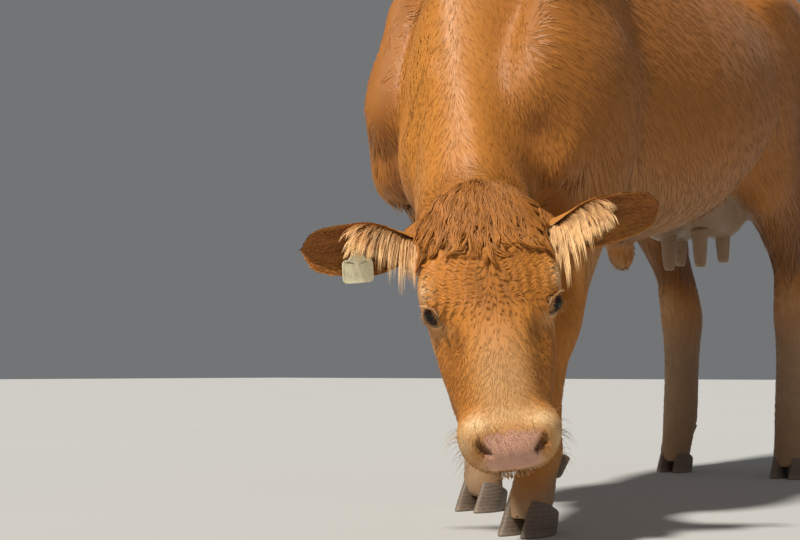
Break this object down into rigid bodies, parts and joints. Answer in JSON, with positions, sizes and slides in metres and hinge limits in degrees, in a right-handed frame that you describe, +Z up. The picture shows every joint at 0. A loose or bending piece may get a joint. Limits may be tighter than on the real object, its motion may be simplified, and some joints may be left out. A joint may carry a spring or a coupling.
{
  "type": "grazing cow model",
  "caption": "Life-size still model of a polled beef cow grazing with its head low and turned to its left, ears out and a blank tag in one ear.",
  "frame": {"origin": "middle of the underside of the bounding box, on the floor", "axes": "+Z up, -Y the way the body faces, +X the cow's left; the head is turned about 38 degrees to the left"},
  "size_m": [0.7724, 2.0906, 1.4168],
  "materials": {
    "coat": "short golden-red hair",
    "pale_coat": "short pale fawn hair",
    "udder_skin": "bare cream-pink skin",
    "hoof_horn": "worn grey-brown horn",
    "eye": "wet dark brown",
    "tag_plastic": "smooth pale plastic"
  },
  "bodies": {
    "root": {"claw_fore_left_inner": "hoof_horn", "claw_fore_left_outer": "hoof_horn", "claw_fore_right_inner": "hoof_horn", "claw_fore_right_outer": "hoof_horn", "claw_hind_left_inner": "hoof_horn", "claw_hind_left_outer": "hoof_horn", "claw_hind_right_inner": "hoof_horn", "claw_hind_right_outer": "hoof_horn", "dewclaw_fore_left_inner": "hoof_horn", "dewclaw_fore_left_outer": "hoof_horn", "dewclaw_fore_right_inner": "hoof_horn", "dewclaw_fore_right_outer": "hoof_horn", "dewclaw_hind_left_inner": "hoof_horn", "dewclaw_hind_left_outer": "hoof_horn", "dewclaw_hind_right_inner": "hoof_horn", "dewclaw_hind_right_outer": "hoof_horn", "ear_left": "coat", "ear_right": "coat", "ear_tag_plate": "tag_plastic", "ear_tag_stud": "tag_plastic", "eye_left": "eye", "eye_right": "eye", "head": "coat", "leg_fore_left": "pale_coat", "leg_fore_right": "pale_coat", "leg_hind_left": "pale_coat", "leg_hind_right": "pale_coat", "neck": "coat", "tail": "coat", "tail_switch": "coat", "teat_front_left": "udder_skin", "teat_front_right": "udder_skin", "teat_rear_left": "udder_skin", "teat_rear_right": "udder_skin", "trunk": "coat", "udder": "udder_skin"}
  },
  "joints": []
}
